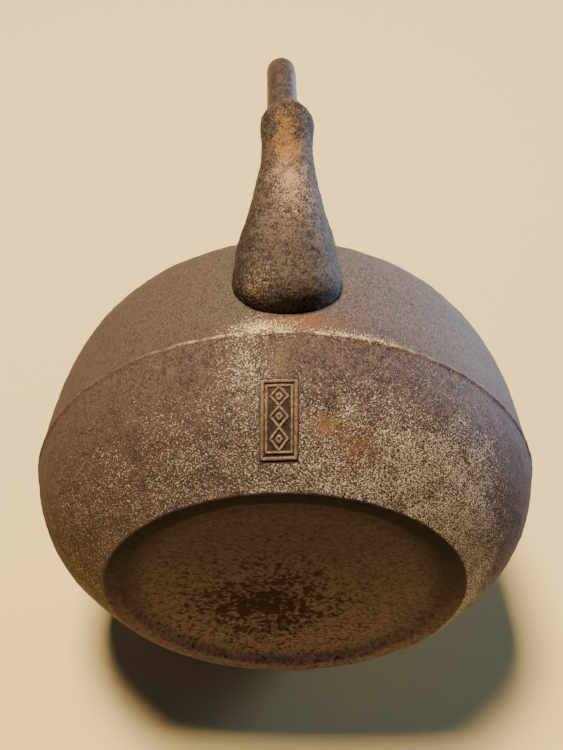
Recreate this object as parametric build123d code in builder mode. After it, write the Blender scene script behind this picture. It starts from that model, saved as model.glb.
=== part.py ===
from build123d import *

import os
from math import cos, radians, sin

# Cast iron water kettle with a slanted spout, a swinging bail handle and a lift-off lid.
# Frame: +Z up, the origin at the middle of the ring it stands on, the spout towards -Y, and the
# handle arch in the YZ plane. Millimetres.

# Kettle shell
body_radius = 85.0
base_radius = 58.8
ridge_height = 37.9
shoulder_height = 110.2
neck_radius = 38.6
wall = 3.2
# The outline in tangent arcs, radius and height: a point on each arc, and the joins between them
flank_curve = ((67.19, 6.69), (74.38, 13.66), (81.97, 25.29))
shoulder_curve = ((83.11, 58.84), (78.53, 77.92), (71.26, 91.98), (60.55, 102.18), (49.7, 107.71))
ridge_proud = 0.6
ridge_half_width = 1.2
base_edge_round = 1.0

# The base is a shallow dish inside the ring that it stands on
foot_ring_inner_radius = 54.5
dish_edge_radius = 50.5
dish_edge_depth = 2.3
dish_depth = 2.8

# Mouth, and the recess that the lid drops into
mouth_radius = 33.0
seat_radius = 36.8
seat_depth = 2.2

# Spout, a turned form on a slanted axis
spout_foot = Vector(0, -83.0, 60.5)
spout_slope = 51.0
spout_foot_radius = 16.5
spout_foot_depth = 13.2
spout_taper = ((14.9, 11.0), (11.9, 20.5), (9.5, 30.0), (7.8, 41.5))  # radius, distance from the foot
spout_lip = (8.4, 48.0)
spout_length = 60.0
spout_wall = 2.6
spout_mouth_height = 97.0

# Ears on the shoulder
ear_inner_y = 48.0
ear_outer_y = 57.0
ear_eye_height = 118.0
ear_top_radius = 7.2
ear_base_width = 18.0
ear_root_height = 95.0

# Handle
handle_bar_radius = 5.85
handle_top_height = 229.15
handle_half_span = 63.4
handle_corner_radius = 34.0
handle_foot_y = 62.0
handle_foot_height = 125.0
handle_foot_radius = 4.2
handle_taper_height = 172.0
pin_radius = 3.0
pin_clearance = 0.08
pin_boss_radius = 4.6
pin_head_radius = 4.4
pin_head_thickness = 2.0
pin_head_gap = 0.4

# Lid
lid_gap = 0.3
lid_seat_gap = 0.1
lid_rim_thickness = 2.6
lid_thickness = 3.0
lid_rise = 5.6
lid_crown_flat = 10.6
lid_crown_curve = (24.0, 3.7)  # radius, height above the lid's edge
lid_inside_flat = 6.6
lid_inside_curve = (18.0, 1.4)  # radius, depth below the flat middle
lid_flange_radius = 32.4
lid_flange_wall = 2.4
lid_flange_depth = 4.6

# Knob, its seat ring and its rivet
knob_radius = 8.4
knob_height = 15.0
knob_waist_radius = 5.0
knob_waist_height = 2.4
knob_widest_height = 8.6
knob_crown = (5.2, 13.6)  # radius, height
knob_seat_radius = 9.6
knob_seat_thickness = 1.4
knob_gap = 0.25
rivet_radius = 2.3
rivet_clearance = 0.07
rivet_in_knob = 8.0
rivet_head_radius = 3.8
rivet_head_thickness = 1.4
washer_radius = 5.6
washer_thickness = 1.0

# Cast mark on the lower flank: a plain frame round a column of lozenges
mark_width = 9.5
mark_offset = -2.0
mark_low = 6.6
mark_high = 23.0
mark_proud = 0.5
mark_rim = 1.1
mark_lozenge = 3.2
mark_lozenge_pitch = 4.4
mark_lozenges = 3

os.makedirs("parts", exist_ok=True)


def drawn_in(radius, height, inset):
    """A point of the kettle's outline, moved inwards by a wall's thickness on every side."""
    wide = (body_radius - inset) / body_radius
    tall = (shoulder_height - 2 * inset) / shoulder_height
    return (radius * wide, inset + height * tall)


def kettle_form(inset):
    """The solid kettle with no mouth: a flat base, a flank up to the ridge and a round shoulder."""
    base_edge = drawn_in(base_radius, 0, inset)
    ridge = drawn_in(body_radius, ridge_height, inset)
    neck = drawn_in(neck_radius, shoulder_height, inset)
    flank = [drawn_in(*point, inset) for point in flank_curve]
    shoulder = [drawn_in(*point, inset) for point in shoulder_curve]
    with BuildPart() as form:
        with BuildSketch(Plane.XZ):
            with BuildLine():
                Line((0, base_edge[1]), base_edge)
                ThreePointArc(base_edge, flank[0], flank[1])
                ThreePointArc(flank[1], flank[2], ridge)
                ThreePointArc(ridge, shoulder[0], shoulder[1])
                ThreePointArc(shoulder[1], shoulder[2], shoulder[3])
                ThreePointArc(shoulder[3], shoulder[4], neck)
                Line(neck, (0, neck[1]))
                Line((0, neck[1]), (0, base_edge[1]))
            make_face()
        revolve(axis=Axis.Z)
    return form.part


def spout_form(inset):
    """The turned spout: a flattened ball foot, a long taper to the neck and a slightly flared lip."""
    foot = spout_foot_radius - inset
    depth = spout_foot_depth - inset
    taper = [(radius - inset, distance) for radius, distance in spout_taper]
    lip = spout_lip[0] - inset
    slanted = Plane(
        origin=spout_foot,
        x_dir=(0, sin(radians(spout_slope)), cos(radians(spout_slope))),
        z_dir=(1, 0, 0),
    )
    with BuildPart() as form:
        with BuildSketch(slanted):
            with BuildLine():
                EllipticalCenterArc((0, 0), foot, depth, start_angle=270, arc_size=90)
                Spline((foot, 0), *taper, (lip, spout_lip[1]), tangents=((0, 1), (0, 1)))
                Line((lip, spout_lip[1]), (lip, spout_length))
                Line((lip, spout_length), (0, spout_length))
                Line((0, spout_length), (0, -depth))
            make_face()
        revolve(axis=Axis(spout_foot, slanted.y_dir))
    return form.part


# --- Kettle shell -------------------------------------------------------------------------
outer_form = kettle_form(0)
cavity_form = split(kettle_form(wall), bisect_by=Plane.XY.offset(dish_depth + wall), keep=Keep.TOP)
spout_outside = spout_form(0)
spout_inside = spout_form(spout_wall)

with BuildPart() as cast_mark:
    with BuildSketch(Plane.XZ.offset(base_radius)):
        with Locations((mark_offset, (mark_low + mark_high) / 2)):
            Rectangle(mark_width, mark_high - mark_low)
            Rectangle(mark_width - 2 * mark_rim, mark_high - mark_low - 2 * mark_rim, mode=Mode.SUBTRACT)
            with GridLocations(0, mark_lozenge_pitch, 1, mark_lozenges):
                Rectangle(mark_lozenge, mark_lozenge, rotation=45)
    extrude(amount=body_radius - base_radius)
    add(kettle_form(-mark_proud), mode=Mode.INTERSECT)
    add(outer_form, mode=Mode.SUBTRACT)

with BuildPart() as kettle_body:
    add(outer_form)
    fillet(kettle_body.edges().group_by(Axis.Z)[0], base_edge_round)
    with BuildSketch(Plane.XZ):
        with BuildLine():
            Line((0, 0), (foot_ring_inner_radius, 0))
            Line((foot_ring_inner_radius, 0), (dish_edge_radius, dish_edge_depth))
            Line((dish_edge_radius, dish_edge_depth), (0, dish_depth))
            Line((0, dish_depth), (0, 0))
        make_face()
    revolve(axis=Axis.Z, mode=Mode.SUBTRACT)
    with BuildSketch(Plane.XZ):
        with Locations((body_radius - ridge_half_width, ridge_height)):
            RegularPolygon(ridge_half_width + ridge_proud, 4, rotation=0)
    revolve(axis=Axis.Z)
    add(cavity_form, mode=Mode.SUBTRACT)
    with Locations((0, 0, shoulder_height)):
        Cylinder(mouth_radius, 4 * wall, mode=Mode.SUBTRACT)
        Cylinder(seat_radius, 2 * seat_depth, mode=Mode.SUBTRACT)
    add(spout_outside, mode=Mode.SUBTRACT)
    add(cast_mark.part)
kettle_body.part.label = "kettle_body"
export_step(kettle_body.part, "parts/kettle_body.step")

# --- Spout --------------------------------------------------------------------------------
with BuildPart() as spout:
    add(spout_outside)
    add(spout_inside, mode=Mode.SUBTRACT)
    add(cavity_form, mode=Mode.SUBTRACT)
    split(bisect_by=Plane.XY.offset(spout_mouth_height), keep=Keep.BOTTOM)
spout.part.label = "spout"
export_step(spout.part, "parts/spout.step")

# --- Ears ---------------------------------------------------------------------------------
with BuildPart() as ear_front:
    with BuildSketch(Plane.XZ.offset(ear_inner_y)):
        with BuildLine():
            Line((-ear_base_width / 2, ear_root_height), (ear_base_width / 2, ear_root_height))
            Line((ear_base_width / 2, ear_root_height), (ear_top_radius, ear_eye_height))
            RadiusArc((ear_top_radius, ear_eye_height), (-ear_top_radius, ear_eye_height), -ear_top_radius)
            Line((-ear_top_radius, ear_eye_height), (-ear_base_width / 2, ear_root_height))
        make_face()
        with Locations((0, ear_eye_height)):
            Circle(pin_radius + pin_clearance, mode=Mode.SUBTRACT)
    extrude(amount=ear_outer_y - ear_inner_y)
    add(outer_form, mode=Mode.SUBTRACT)
ear_front.part.label = "ear_front"
export_step(ear_front.part, "parts/ear_front.step")

with BuildPart() as ear_rear:
    mirror(ear_front.part, about=Plane.XZ, mode=Mode.ADD)
ear_rear.part.label = "ear_rear"
export_step(ear_rear.part, "parts/ear_rear.step")

# --- Handle -------------------------------------------------------------------------------
leg_lean = (handle_half_span - handle_foot_y) / (handle_top_height - handle_foot_height)
taper_y = handle_foot_y + leg_lean * (handle_taper_height - handle_foot_height)
leg_up = Vector(0, -leg_lean, 1)
with BuildPart() as handle_bar:
    with BuildLine() as arch:
        FilletPolyline(
            (0, -taper_y, handle_taper_height),
            (0, -handle_half_span, handle_top_height),
            (0, handle_half_span, handle_top_height),
            (0, taper_y, handle_taper_height),
            radius=handle_corner_radius,
        )
    with BuildSketch(Plane(origin=(0, -taper_y, handle_taper_height), z_dir=leg_up)):
        Circle(handle_bar_radius)
    sweep()
    with BuildSketch(Plane(origin=(0, -taper_y, handle_taper_height), z_dir=leg_up)):
        Circle(handle_bar_radius)
    with BuildSketch(Plane(origin=(0, -handle_foot_y, handle_foot_height), z_dir=leg_up)):
        Circle(handle_foot_radius)
    loft()
    mirror(about=Plane.XZ)
handle_bar.part.label = "handle_bar"
export_step(handle_bar.part, "parts/handle_bar.step")

with BuildPart() as handle_end_front:
    with BuildSketch(Plane(origin=(0, -handle_foot_y, handle_foot_height), z_dir=leg_up)):
        Circle(handle_foot_radius)
    extrude(amount=handle_foot_height - ear_eye_height, dir=-leg_up)
    with Locations((0, -handle_foot_y, ear_eye_height)):
        Sphere(pin_boss_radius)
    with BuildSketch(Plane.XZ.offset(handle_foot_y)):
        with Locations((0, ear_eye_height)):
            Circle(pin_radius)
    extrude(amount=-(handle_foot_y - ear_inner_y + pin_head_gap + pin_head_thickness))
    with BuildSketch(Plane.XZ.offset(ear_inner_y - pin_head_gap)):
        with Locations((0, ear_eye_height)):
            Circle(pin_head_radius)
    extrude(amount=-pin_head_thickness)
    fillet(handle_end_front.edges().sort_by(Axis.Y)[-1], pin_head_thickness / 2)
handle_end_front.part.label = "handle_end_front"
export_step(handle_end_front.part, "parts/handle_end_front.step")

with BuildPart() as handle_end_rear:
    mirror(handle_end_front.part, about=Plane.XZ, mode=Mode.ADD)
handle_end_rear.part.label = "handle_end_rear"
export_step(handle_end_rear.part, "parts/handle_end_rear.step")

# --- Lid ----------------------------------------------------------------------------------
seat_height = shoulder_height - seat_depth
lid_radius = seat_radius - lid_gap
lid_under = seat_height + lid_seat_gap
lid_edge_top = lid_under + lid_rim_thickness
lid_top = lid_edge_top + lid_rise
lid_inside = lid_top - lid_thickness
flange_inside = lid_flange_radius - lid_flange_wall
flange_foot = lid_under - lid_flange_depth
with BuildPart() as lid:
    with BuildSketch(Plane.XZ):
        with BuildLine():
            Line((0, lid_inside), (lid_inside_flat, lid_inside))
            Spline(
                (lid_inside_flat, lid_inside),
                (lid_inside_curve[0], lid_inside - lid_inside_curve[1]),
                (flange_inside, lid_under),
            )
            Line((flange_inside, lid_under), (flange_inside, flange_foot))
            Line((flange_inside, flange_foot), (lid_flange_radius, flange_foot))
            Line((lid_flange_radius, flange_foot), (lid_flange_radius, lid_under))
            Line((lid_flange_radius, lid_under), (lid_radius, lid_under))
            Line((lid_radius, lid_under), (lid_radius, lid_edge_top))
            Spline(
                (lid_radius, lid_edge_top),
                (lid_crown_curve[0], lid_edge_top + lid_crown_curve[1]),
                (lid_crown_flat, lid_top),
            )
            Line((lid_crown_flat, lid_top), (0, lid_top))
            Line((0, lid_top), (0, lid_inside))
        make_face()
    revolve(axis=Axis.Z)
    with Locations((0, 0, lid_top)):
        Hole(rivet_radius + rivet_clearance)
lid.part.label = "lid"
export_step(lid.part, "parts/lid.step")

with BuildPart() as knob_seat:
    with BuildSketch(Plane.XY.offset(lid_top)):
        Circle(knob_seat_radius)
        Circle(rivet_radius + rivet_clearance, mode=Mode.SUBTRACT)
    extrude(amount=knob_seat_thickness)
    chamfer(knob_seat.edges().group_by(Axis.Z)[-1].sort_by(SortBy.LENGTH)[-1], knob_seat_thickness / 2)
knob_seat.part.label = "knob_seat"
export_step(knob_seat.part, "parts/knob_seat.step")

# --- Knob and rivet -----------------------------------------------------------------------
knob_under = lid_top + knob_seat_thickness + knob_gap
knob_top = knob_under + knob_height
with BuildPart() as lid_knob:
    with BuildSketch(Plane.XZ):
        with BuildLine():
            Line((0, knob_under), (knob_waist_radius, knob_under))
            Spline(
                (knob_waist_radius, knob_under),
                (knob_waist_radius, knob_under + knob_waist_height),
                (knob_radius, knob_under + knob_widest_height),
                (knob_crown[0], knob_under + knob_crown[1]),
                (0, knob_top),
                tangents=((0, 1), (-1, 0)),
            )
            Line((0, knob_top), (0, knob_under))
        make_face()
    revolve(axis=Axis.Z)
    with BuildSketch(Plane.XY.offset(knob_under)):
        Circle(rivet_radius)
    extrude(amount=rivet_in_knob, mode=Mode.SUBTRACT)
lid_knob.part.label = "lid_knob"
export_step(lid_knob.part, "parts/lid_knob.step")

washer_top = lid_inside - knob_gap
washer_under = washer_top - washer_thickness
with BuildPart() as rivet_washer:
    with BuildSketch(Plane.XY.offset(washer_under)):
        Circle(washer_radius)
        Circle(rivet_radius, mode=Mode.SUBTRACT)
    extrude(amount=washer_thickness)
rivet_washer.part.label = "rivet_washer"
export_step(rivet_washer.part, "parts/rivet_washer.step")

with BuildPart() as knob_rivet:
    with BuildSketch(Plane.XY.offset(washer_under)):
        Circle(rivet_radius)
    extrude(amount=knob_under + rivet_in_knob - washer_under)
    with BuildSketch(Plane.XY.offset(washer_under - rivet_head_thickness)):
        Circle(rivet_head_radius)
    extrude(amount=rivet_head_thickness)
    fillet(knob_rivet.edges().group_by(Axis.Z)[0], rivet_head_thickness / 2)
knob_rivet.part.label = "knob_rivet"
export_step(knob_rivet.part, "parts/knob_rivet.step")
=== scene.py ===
"""Cast iron water kettle: a slanted spout, a swinging bail handle and a lift-off lid.

The kettle stands upright in its own frame, in metres: +Z up through the mouth, the spout towards
-Y and the handle's arch in the YZ plane. It is shown lying on its back, so the pale floor is a
plane behind it, and the camera looks up at its base from the spout's side. Sizes in the classes
are millimetres, and become metres where a mesh is made.
"""

from __future__ import annotations

import logging
import math
from dataclasses import dataclass, fields
from enum import Enum
from functools import cached_property
from typing import Any, Callable, Iterable, Sequence

import bmesh
import bpy
import numpy as np
from mathutils import Matrix, Vector

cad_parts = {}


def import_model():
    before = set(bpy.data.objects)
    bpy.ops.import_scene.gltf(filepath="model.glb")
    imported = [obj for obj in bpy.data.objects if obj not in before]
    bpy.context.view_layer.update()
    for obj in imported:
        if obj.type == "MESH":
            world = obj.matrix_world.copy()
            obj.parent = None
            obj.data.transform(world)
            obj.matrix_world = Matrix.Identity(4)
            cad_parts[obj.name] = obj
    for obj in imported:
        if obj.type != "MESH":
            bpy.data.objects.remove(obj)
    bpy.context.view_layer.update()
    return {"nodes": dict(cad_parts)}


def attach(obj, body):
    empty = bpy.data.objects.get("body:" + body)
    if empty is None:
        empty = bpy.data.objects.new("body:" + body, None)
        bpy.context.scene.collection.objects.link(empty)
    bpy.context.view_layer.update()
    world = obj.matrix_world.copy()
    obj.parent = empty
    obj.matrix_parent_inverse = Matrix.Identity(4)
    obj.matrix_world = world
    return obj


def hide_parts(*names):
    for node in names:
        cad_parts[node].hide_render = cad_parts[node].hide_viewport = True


log = logging.getLogger("kettle")

MM = 0.001
# Points closer than these, in metres, are one point: in a turned form, and in any finished piece.
TURNED_MERGE = 2e-6
PIECE_MERGE = 1e-6
# How far the fleck noise climbs from bare iron to full scale.
FLECK_EDGE = 0.07

Piece = bpy.types.Object
Finish = bpy.types.Material
Socket = bpy.types.NodeSocket
# What may feed an input: a socket, a number, a vector, a colour, an object or a material.
Value = Any
# A tree that is being wired, its inputs by name, and its output node.
Group = tuple["Tree", dict[str, Socket], bpy.types.Node]
# A colour and a fleck amount, as sockets.
Layered = tuple[Socket, Socket]
# How deep positions lie within something; negative outside it.
Depth = Callable[[np.ndarray], np.ndarray]
Point = tuple[float, float]
Place = tuple[float, float, float]
Colour = tuple[float, float, float]


class Body(Enum):
    """The moving bodies of the kettle, by their names in the frame."""

    KETTLE = "kettle"
    HANDLE = "handle"
    LID = "lid"
    KNOB = "knob"


class Slot(Enum):
    """Names for the kettle's finishes."""

    SHELL = "cast_shell"
    SPOUT = "cast_spout"
    HANDLE = "forged_handle"
    LID = "cast_lid"
    FITTINGS = "lid_fittings"


def tint(red: int, green: int, blue: int) -> Colour:
    """Turns a colour of 0 to 255 a channel, as a screen shows it, into a linear one."""
    shares = [channel / 255 for channel in (red, green, blue)]
    return tuple(c / 12.92 if c < 0.04045 else ((c + 0.055) / 1.055) ** 2.4 for c in shares)


# --- Node trees ---------------------------------------------------------------------------


class Tree:
    """A node tree that is being wired, with short ways to add the nodes that the kettle uses."""

    def __init__(self, tree: bpy.types.NodeTree) -> None:
        """Keeps the tree.

        Args:
            tree: the geometry or shader node tree to add nodes to.
        """
        self.tree = tree

    def add(self, kind: str, inputs: dict | None = None, **settings: Any) -> bpy.types.Node:
        """Adds a node.

        Args:
            kind: the node's class name.
            inputs: values or sockets, by the input's name or number.
            settings: the node's own properties.

        Returns:
            The new node.
        """
        node = self.tree.nodes.new(kind)
        for name, value in settings.items():
            setattr(node, name, value)
        for name, value in (inputs or {}).items():
            self.feed(node.inputs[name], value)
        return node

    def shape(self, kind: str, inputs: dict | None = None, **settings: Any) -> Socket:
        """Adds a geometry node, by its name without the prefix, and returns its first output."""
        return self.add("GeometryNode" + kind, inputs, **settings).outputs[0]

    def feed(self, socket: Socket, value: Value) -> None:
        """Links a socket to an input, or sets the input's own value.

        Args:
            socket: the input.
            value: an output socket, a number, a colour or a vector.
        """
        if isinstance(value, Socket):
            self.tree.links.new(value, socket)
        elif socket.type == "RGBA" and len(value) == 3:
            socket.default_value = (*value, 1.0)
        else:
            socket.default_value = value

    def math(self, operation: str, *values: Value, clamp: bool = False) -> Socket:
        """Adds a Math node and returns its output.

        Args:
            operation: the node's operation.
            values: up to three numbers or sockets.
            clamp: keeps the result between 0 and 1.

        Returns:
            The value's socket.
        """
        kept = dict(enumerate(values))
        return self.add("ShaderNodeMath", kept, operation=operation, use_clamp=clamp).outputs[0]

    def times(self, first: Value, second: Value) -> Socket:
        """The product of two values."""
        return self.math("MULTIPLY", first, second)

    def plus(self, first: Value, second: Value) -> Socket:
        """The sum of two values."""
        return self.math("ADD", first, second)

    def minus(self, first: Value, second: Value) -> Socket:
        """The first value less the second."""
        return self.math("SUBTRACT", first, second)

    def over(self, first: Value, second: Value) -> Socket:
        """The first value divided by the second."""
        return self.math("DIVIDE", first, second)

    def scaled(self, place: Value, factor: Value) -> Socket:
        """A vector times a number.

        Args:
            place: the vector.
            factor: the number.

        Returns:
            The longer or shorter vector's socket.
        """
        node = self.add("ShaderNodeVectorMath", {0: place}, operation="SCALE")
        self.feed(node.inputs["Scale"], factor)
        return node.outputs[0]

    def vector(self, operation: str, *values: Value) -> Socket:
        """Adds a Vector Math node and returns its vector, or its number for a length or product."""
        node = self.add("ShaderNodeVectorMath", dict(enumerate(values)), operation=operation)
        return node.outputs[1 if operation in ("LENGTH", "DISTANCE", "DOT_PRODUCT") else 0]

    def rise(self, value: Value, low: float, high: float) -> Socket:
        """A smooth step from 0 at low to 1 at high; it falls instead where low is above high.

        Args:
            value: what the step follows.
            low: where it is 0.
            high: where it is 1.

        Returns:
            The step's socket.
        """
        if low > high:
            return self.minus(1.0, self.rise(value, high, low))
        node = self.add("ShaderNodeMapRange", interpolation_type="SMOOTHSTEP")
        self.feed(node.inputs["Value"], value)
        self.feed(node.inputs["From Min"], low)
        self.feed(node.inputs["From Max"], high)
        return node.outputs["Result"]

    def blend(self, mask: Value, first: Value, second: Value) -> Socket:
        """Mixes two colours by a mask.

        Args:
            mask: 0 for the first colour, 1 for the second.
            first: a colour or socket.
            second: a colour or socket.

        Returns:
            The mixed colour's socket.
        """
        node = self.add("ShaderNodeMix", data_type="RGBA")
        self.feed(node.inputs["Factor"], mask)
        self.feed(node.inputs["A"], first)
        self.feed(node.inputs["B"], second)
        return node.outputs["Result"]

    def noise(self, place: Value, scale: Value, detail: float, rough: float, seed: Value) -> Socket:
        """A noise value of about 0 to 1 with features 1/scale millimetres wide.

        Args:
            place: the position in millimetres.
            scale: features for each millimetre.
            detail: octaves.
            rough: how strong the finer octaves are.
            seed: picks the pattern.

        Returns:
            The value's socket.
        """
        node = self.add("ShaderNodeTexNoise", noise_dimensions="4D")
        for name, value in (("Vector", place), ("W", seed), ("Scale", scale), ("Detail", detail)):
            self.feed(node.inputs[name], value)
        self.feed(node.inputs["Roughness"], rough)
        return node.outputs[0]

    def parts(self, place: Value) -> list[Socket]:
        """The X, Y and Z of a vector."""
        return list(self.add("ShaderNodeSeparateXYZ", {0: place}).outputs)


def new_group(name: str, kind: str, inputs: dict, outputs: dict) -> Group:
    """Makes an empty node group with named sockets.

    Args:
        name: the group's name.
        kind: GeometryNodeTree or ShaderNodeTree.
        inputs: the socket's kind and starting value, by name.
        outputs: the socket's kind, by name.

    Returns:
        The tree, its inputs by name and its output node.
    """
    group = bpy.data.node_groups.new(name, kind)
    for label, (socket, value) in inputs.items():
        made = group.interface.new_socket(label, in_out="INPUT", socket_type="NodeSocket" + socket)
        if value is not None:
            made.default_value = value
    for label, socket in outputs.items():
        group.interface.new_socket(label, in_out="OUTPUT", socket_type="NodeSocket" + socket)
    tree = Tree(group)
    entry = tree.add("NodeGroupInput")
    return tree, {s.name: s for s in entry.outputs if s.name}, tree.add("NodeGroupOutput")


def piece_group(name: str, inputs: dict) -> Group:
    """Makes an empty geometry group that takes a geometry, its own inputs and a material."""
    given = {"Geometry": ("Geometry", None), **inputs, "Material": ("Material", None)}
    return new_group(name, "GeometryNodeTree", given, {"Geometry": "Geometry"})


class Shaping:
    """The geometry node trees that make the kettle's pieces, each built once."""

    def __init__(self) -> None:
        """Builds the trees."""
        self.turning = self.build_turning()
        self.skin = self.build_skin()
        self.bar = self.build_bar()
        self.ribs = self.build_ribs()

    @staticmethod
    def finish(tree: Tree, end: bpy.types.Node, made: Socket, material: Socket) -> None:
        """Ends a tree in Realize Instances and Set Material, with smooth shading.

        Args:
            tree: the tree.
            end: its output node.
            made: the geometry.
            material: the finish.
        """
        smooth = tree.shape("SetShadeSmooth", {"Geometry": made})
        real = tree.shape("RealizeInstances", {"Geometry": smooth})
        tree.feed(end.inputs[0], tree.shape("SetMaterial", {"Geometry": real, "Material": material}))

    def build_turning(self) -> bpy.types.NodeTree:
        """Turns a line of points in the XZ plane about Z, as one closed skin.

        Returns:
            The tree, with inputs Columns and Material.
        """
        tree, given, end = piece_group("turned_form", {"Columns": ("Int", 96)})
        count = tree.shape("AttributeDomainSize", {"Geometry": given["Geometry"]})
        across = tree.plus(given["Columns"], 1.0)
        grid = {"Size X": 1.0, "Size Y": 1.0, "Vertices X": across, "Vertices Y": count}
        sheet = tree.shape("MeshGrid", grid)
        u, v, _ = tree.parts(tree.shape("InputPosition"))
        row = tree.math("ROUND", tree.times(tree.plus(v, 0.5), tree.minus(count, 1.0)))
        line = tree.add("GeometryNodeSampleIndex", data_type="FLOAT_VECTOR")
        tree.feed(line.inputs["Geometry"], given["Geometry"])
        tree.feed(line.inputs["Value"], tree.shape("InputPosition"))
        tree.feed(line.inputs["Index"], row)
        turn = tree.times(tree.plus(u, 0.5), 2 * math.pi)
        place = tree.add("ShaderNodeVectorRotate", rotation_type="Z_AXIS")
        tree.feed(place.inputs["Vector"], line.outputs[0])
        tree.feed(place.inputs["Angle"], turn)
        placed = tree.shape("SetPosition", {"Geometry": sheet, "Position": place.outputs[0]})
        closed = tree.shape("MergeByDistance", {"Geometry": placed, "Distance": TURNED_MERGE})
        self.finish(tree, end, closed, given["Material"])
        return tree.tree

    def build_skin(self) -> bpy.types.NodeTree:
        """Gives a piece the slightly uneven skin of a sand casting, by moving it along its normals.

        Returns:
            The tree, with inputs in millimetres and the height above which the skin stays true.
        """
        tree, given, end = piece_group(
            "cast_skin",
            {
                "Lump Height": ("Float", 0.2),
                "Lump Width": ("Float", 9.0),
                "Grain Height": ("Float", 0.1),
                "Grain Width": ("Float", 2.4),
                "True Above": ("Float", 999.0),
                "Seed": ("Float", 1.0),
            },
        )
        place = tree.scaled(tree.shape("InputPosition"), 1 / MM)
        height = tree.parts(place)[2]
        lift = 0.0
        for name in ("Lump", "Grain"):
            value = tree.noise(place, tree.over(1.0, given[name + " Width"]), 3.0, 0.55, given["Seed"])
            swing = tree.times(tree.minus(value, 0.5), given[name + " Height"])
            lift = tree.plus(swing, lift)
        calm = tree.add("ShaderNodeMapRange", {"Value": height, "From Max": given["True Above"]})
        tree.feed(calm.inputs["From Min"], tree.minus(given["True Above"], 1.5))
        tree.feed(calm.inputs["To Min"], 2 * MM)
        tree.feed(calm.inputs["To Max"], 0.0)
        offset = tree.scaled(tree.shape("InputNormal"), tree.times(lift, calm.outputs[0]))
        moved = tree.shape("SetPosition", {"Geometry": given["Geometry"], "Offset": offset})
        self.finish(tree, end, moved, given["Material"])
        return tree.tree

    def build_bar(self) -> bpy.types.NodeTree:
        """Runs a round bar along a curve, thinner where the curve's own radius is.

        Returns:
            The tree, with inputs Step, Sides and Material.
        """
        tree, given, end = piece_group("round_bar", {"Step": ("Float", 1.0), "Sides": ("Int", 32)})
        length = tree.times(given["Step"], MM)
        path = tree.shape("ResampleCurve", {"Curve": given["Geometry"], "Length": length}, mode="LENGTH")
        ring = tree.shape("CurvePrimitiveCircle", {"Resolution": given["Sides"], "Radius": 1.0})
        parts = {"Curve": path, "Profile Curve": ring, "Fill Caps": True}
        parts["Scale"] = tree.shape("InputRadius")
        self.finish(tree, end, tree.shape("CurveToMesh", parts), given["Material"])
        return tree.tree

    def build_ribs(self) -> bpy.types.NodeTree:
        """Lays a framed column of raised lozenges on the flank, as ribs half sunk in its surface.

        Returns:
            The tree, whose sizes are in millimetres and whose Ground is the shell.
        """
        sizes = {"Width": 9.5, "Height": 16.4, "Middle X": -2.0, "Middle Z": 14.8}
        sizes |= {"Rib": 0.55, "Inner Rib": 0.42, "Pitch": 4.5}
        tree, given, end = piece_group(
            "framed_lozenges",
            {
                **{name: ("Float", value) for name, value in sizes.items()},
                "Lozenges": ("Int", 3),
                "Ground": ("Object", None),
            },
        )

        def loop(wide: Value, tall: Value) -> Socket:
            """A closed rectangle in the XY plane."""
            return tree.shape("CurvePrimitiveQuadrilateral", {"Width": wide, "Height": tall})

        def lozenge(wide: Value, half: Value) -> Socket:
            """A closed lozenge in the XY plane."""
            sides = {"Width": wide, "Bottom Height": half, "Top Height": half}
            return tree.shape("CurvePrimitiveQuadrilateral", sides, mode="KITE")

        def joined(*pieces: Socket) -> Socket:
            """Several geometries as one.

            Args:
                pieces: the geometries.

            Returns:
                The joined geometry.
            """
            node = tree.add("GeometryNodeJoinGeometry")
            for piece in pieces:
                tree.tree.links.new(piece, node.inputs[0])
            return node.outputs[0]

        def rib(path: Socket, radius: Socket) -> Socket:
            """A round rib along a path, laid back on to the shell.

            Args:
                path: the flat path.
                radius: the rib's own radius.

            Returns:
                The rib.
            """
            real = tree.shape("RealizeInstances", {"Geometry": path})
            fine = tree.shape("ResampleCurve", {"Curve": real, "Length": 0.3}, mode="LENGTH")
            x, y, _ = tree.parts(tree.shape("InputPosition"))
            flat = tree.add("ShaderNodeCombineXYZ", {"Y": -100.0})
            tree.feed(flat.inputs["X"], tree.plus(x, given["Middle X"]))
            tree.feed(flat.inputs["Z"], tree.plus(y, given["Middle Z"]))
            ground = tree.add("GeometryNodeObjectInfo", {"Object": given["Ground"]})
            ray = tree.add("GeometryNodeRaycast", {"Target Geometry": ground.outputs["Geometry"]})
            tree.feed(ray.inputs["Source Position"], tree.scaled(flat.outputs[0], MM))
            tree.feed(ray.inputs["Ray Direction"], (0.0, 1.0, 0.0))
            laid = tree.shape("SetPosition", {"Geometry": fine, "Position": ray.outputs["Hit Position"]})
            ring = tree.shape("CurvePrimitiveCircle", {"Resolution": 10, "Radius": tree.times(radius, MM)})
            return tree.shape("CurveToMesh", {"Curve": laid, "Profile Curve": ring})

        outer = loop(given["Width"], given["Height"])
        inner = loop(*(tree.minus(given[name], 2.3) for name in ("Width", "Height")))
        big = lozenge(tree.minus(given["Width"], 4.6), tree.times(given["Pitch"], 0.5))
        cell = joined(big, lozenge(1.6, 0.75))
        spread = tree.times(tree.minus(given["Lozenges"], 1.0), given["Pitch"])
        start = tree.add("ShaderNodeCombineXYZ", {"Y": tree.times(spread, -0.5)}).outputs[0]
        step = tree.add("ShaderNodeCombineXYZ", {"Y": given["Pitch"]}).outputs[0]
        spots = {"Count": given["Lozenges"], "Start Location": start, "Offset": step}
        many = tree.shape("InstanceOnPoints", {"Points": tree.shape("MeshLine", spots), "Instance": cell})
        ribs = joined(rib(joined(many, inner), given["Inner Rib"]), rib(outer, given["Rib"]))
        self.finish(tree, end, ribs, given["Material"])
        return tree.tree


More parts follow.
